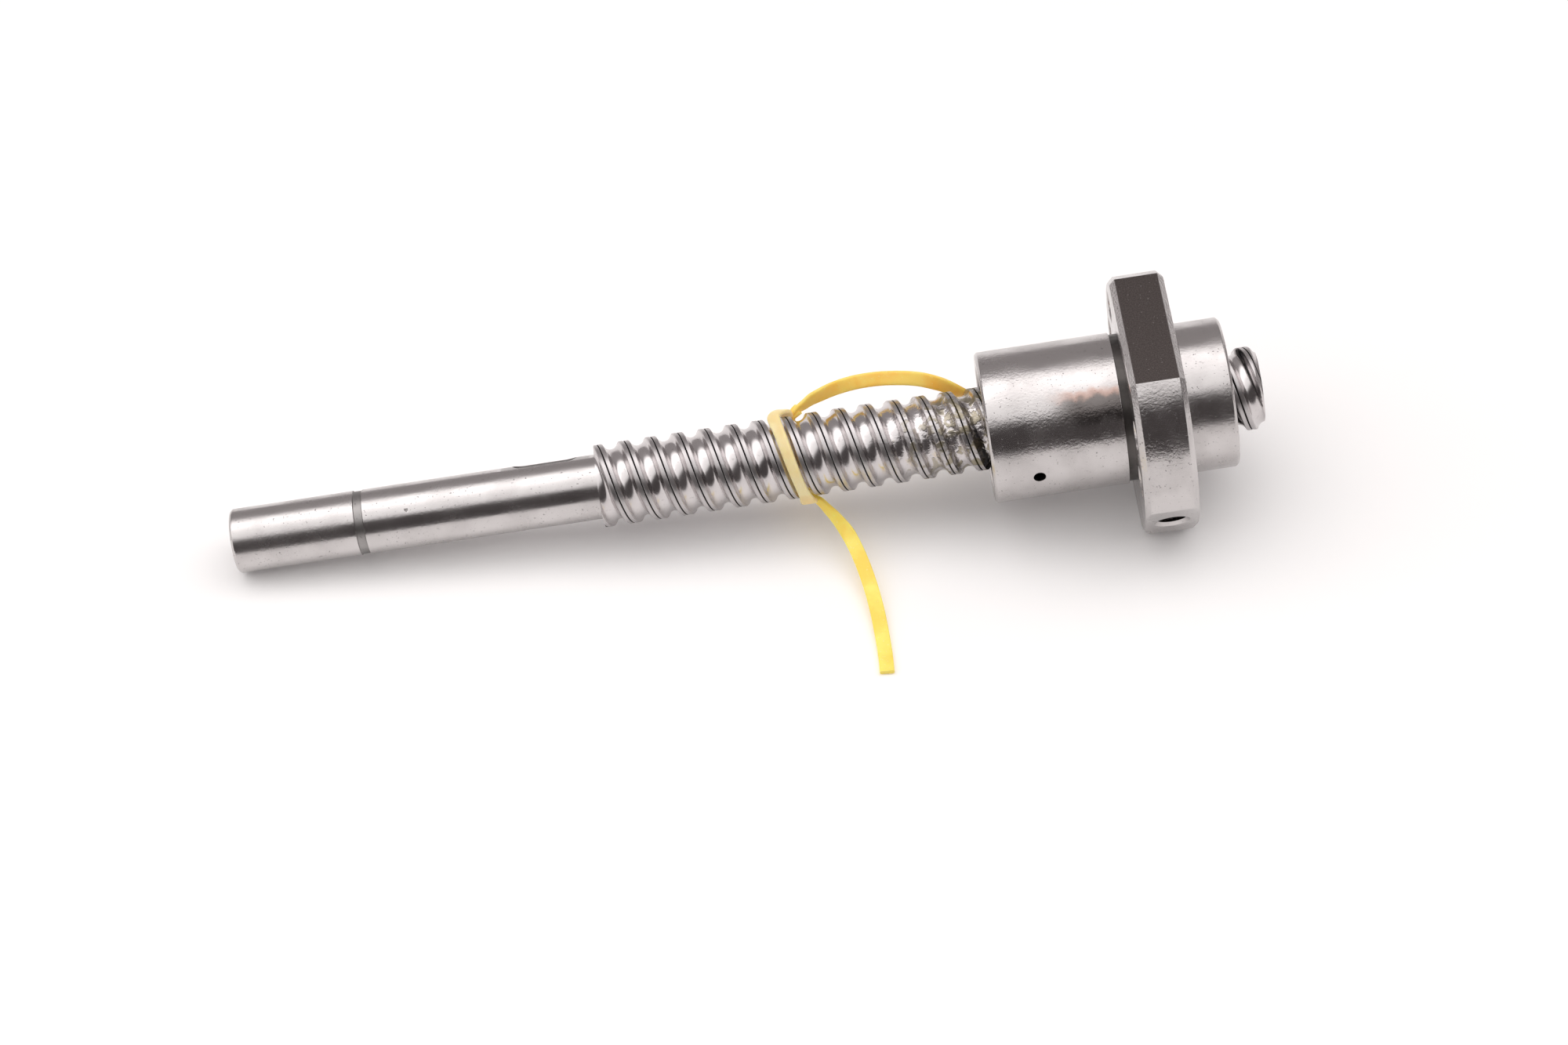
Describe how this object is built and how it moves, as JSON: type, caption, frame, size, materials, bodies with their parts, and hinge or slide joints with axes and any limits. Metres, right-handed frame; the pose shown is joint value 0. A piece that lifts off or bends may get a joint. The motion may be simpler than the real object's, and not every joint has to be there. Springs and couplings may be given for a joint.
{
  "type": "ball screw assembly",
  "caption": "Ball screw with a keyed plain journal and a flanged recirculating-ball nut, and a rubber strip tied round its thread.",
  "frame": {"origin": "centre of the journal's flat end face, on the screw's axis", "axes": "+X along the screw from the journal towards the nut, +Z square to the two flats of the nut's flange, +Y across the flange"},
  "size_m": [0.1912, 0.0656, 0.04],
  "materials": {
    "screw_steel": "rolled and polished, with a dark seam along each crest and grease near the nut",
    "nut_steel": "ground, with fine scratches and oil smears",
    "ball_steel": "polished",
    "ring_steel": "phosphated spring steel",
    "seal_plastic": "matt",
    "deflector_plastic": "matt",
    "strip_rubber": "translucent natural rubber, yellow"
  },
  "bodies": {
    "screw": {"screw_shaft": "screw_steel", "strip_loop": "strip_rubber", "strip_tail_upper": "strip_rubber", "strip_tail_lower": "strip_rubber"},
    "ring_carrier": {"snap_ring_left": "ring_steel", "snap_ring_right": "ring_steel"},
    "nut": {"nut_body": "nut_steel", "wiper_left": "seal_plastic", "wiper_right": "seal_plastic", "ball_return_deflector_1": "deflector_plastic", "ball_return_deflector_2": "deflector_plastic", "ball_return_deflector_3": "deflector_plastic", "ball_1_01": "ball_steel", "ball_1_02": "ball_steel", "ball_1_03": "ball_steel", "ball_1_04": "ball_steel", "ball_1_05": "ball_steel", "ball_1_06": "ball_steel", "ball_1_07": "ball_steel", "ball_1_08": "ball_steel", "ball_1_09": "ball_steel", "ball_1_10": "ball_steel", "ball_1_11": "ball_steel", "ball_1_12": "ball_steel", "ball_1_13": "ball_steel", "ball_1_14": "ball_steel", "ball_1_15": "ball_steel", "ball_2_01": "ball_steel", "ball_2_02": "ball_steel", "ball_2_03": "ball_steel", "ball_2_04": "ball_steel", "ball_2_05": "ball_steel", "ball_2_06": "ball_steel", "ball_2_07": "ball_steel", "ball_2_08": "ball_steel", "ball_2_09": "ball_steel", "ball_2_10": "ball_steel", "ball_2_11": "ball_steel", "ball_2_12": "ball_steel", "ball_2_13": "ball_steel", "ball_2_14": "ball_steel", "ball_2_15": "ball_steel", "ball_3_01": "ball_steel", "ball_3_02": "ball_steel", "ball_3_03": "ball_steel", "ball_3_04": "ball_steel", "ball_3_05": "ball_steel", "ball_3_06": "ball_steel", "ball_3_07": "ball_steel", "ball_3_08": "ball_steel", "ball_3_09": "ball_steel", "ball_3_10": "ball_steel", "ball_3_11": "ball_steel", "ball_3_12": "ball_steel", "ball_3_13": "ball_steel", "ball_3_14": "ball_steel", "ball_3_15": "ball_steel"}
  },
  "joints": [
    {"name": "nut_travel", "type": "slide", "parent": "screw", "child": "ring_carrier", "axis": [1, 0, 0], "range_m": [-0.02, 0.01], "deforming": ["strip_tail_upper"]},
    {"name": "nut_spin", "type": "hinge", "parent": "ring_carrier", "child": "nut", "pos_m": [0.1628, 0, 0], "axis": [1, 0, 0], "range_deg": [-720, 360]}
  ],
  "couplings": [
    {"joint": "nut_spin", "follows": "nut_travel", "rad_per_m": 628.32}
  ]
}
